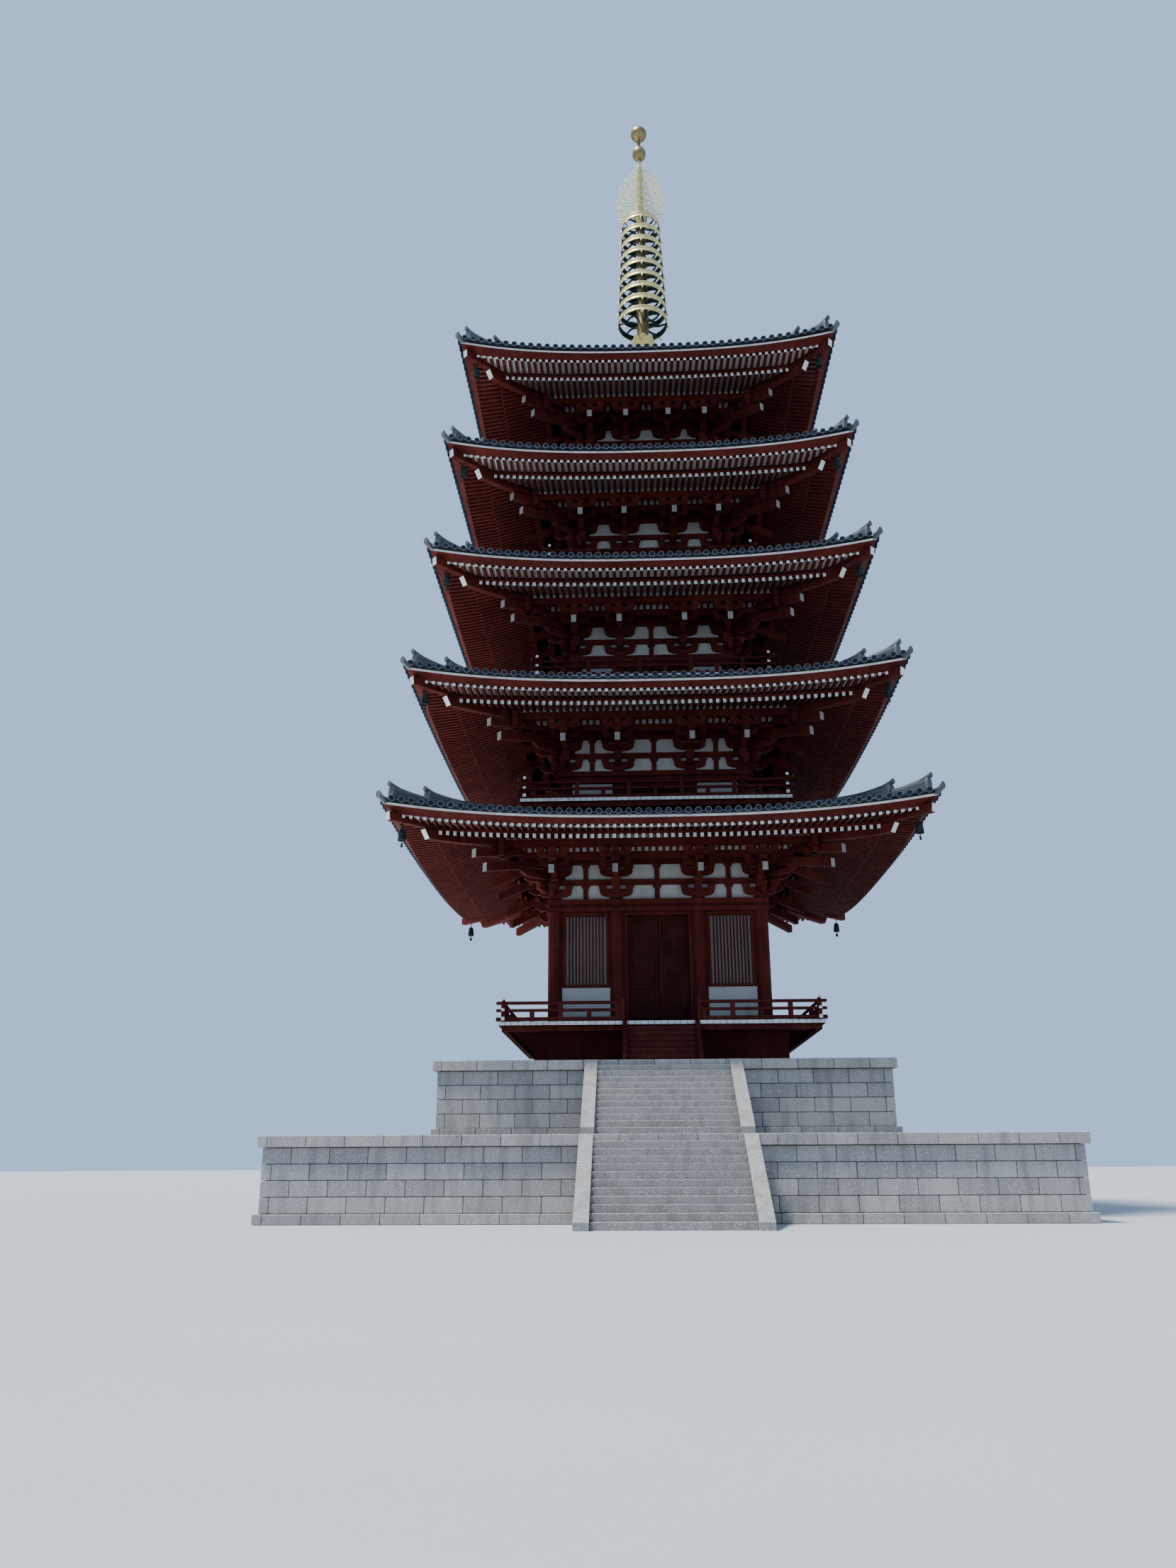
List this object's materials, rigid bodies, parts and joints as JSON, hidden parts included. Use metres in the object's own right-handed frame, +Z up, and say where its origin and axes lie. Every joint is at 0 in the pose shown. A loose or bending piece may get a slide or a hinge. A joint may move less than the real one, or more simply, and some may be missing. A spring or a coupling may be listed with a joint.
{
  "type": "five-storey pagoda, 1:2 scale model",
  "caption": "Five-storey timber pagoda with tiled roofs, upturned corners, balconies and a gilt spire, on a stepped granite podium; a model at half the real size",
  "frame": {"origin": "centre of the podium's underside, on the spire's axis, at ground level", "axes": "+Z up along the spire, -Y out of the front with the stairs, +X to the right seen from the front"},
  "size_m": [12.14, 13.9403, 26.59],
  "materials": {
    "granite": "dressed",
    "red_timber": "painted",
    "dark_timber": "painted",
    "plaster": "limewashed",
    "tile": "satin",
    "gilt": "gilded",
    "bronze": "patinated"
  },
  "bodies": {
    "root": {"podium_lower": "granite", "podium_upper": "granite", "stone_stair_lower": "granite", "stone_stair_upper": "granite", "wooden_stair": "red_timber", "storey1_balcony": "red_timber", "storey1_railing": "red_timber", "storey1_walls": "red_timber", "storey1_doors_windows": "dark_timber", "storey1_head_band": "plaster", "storey1_brackets": "red_timber", "storey1_eaves": "red_timber", "storey1_roof": "tile", "storey2_balcony": "red_timber", "storey2_railing": "red_timber", "storey2_walls": "red_timber", "storey2_doors_windows": "dark_timber", "storey2_head_band": "plaster", "storey2_brackets": "red_timber", "storey2_eaves": "red_timber", "storey2_roof": "tile", "storey3_balcony": "red_timber", "storey3_railing": "red_timber", "storey3_walls": "red_timber", "storey3_doors_windows": "dark_timber", "storey3_head_band": "plaster", "storey3_brackets": "red_timber", "storey3_eaves": "red_timber", "storey3_roof": "tile", "storey4_balcony": "red_timber", "storey4_railing": "red_timber", "storey4_walls": "red_timber", "storey4_doors_windows": "dark_timber", "storey4_head_band": "plaster", "storey4_brackets": "red_timber", "storey4_eaves": "red_timber", "storey4_roof": "tile", "storey5_balcony": "red_timber", "storey5_railing": "red_timber", "storey5_walls": "red_timber", "storey5_doors_windows": "dark_timber", "storey5_head_band": "plaster", "storey5_brackets": "red_timber", "storey5_eaves": "red_timber", "storey5_roof": "tile", "dew_basin": "gilt", "inverted_bowl": "gilt", "lotus_petals": "gilt", "mast_and_rings": "gilt", "flames": "gilt", "finial_balls": "gilt"}
  },
  "joints": []
}
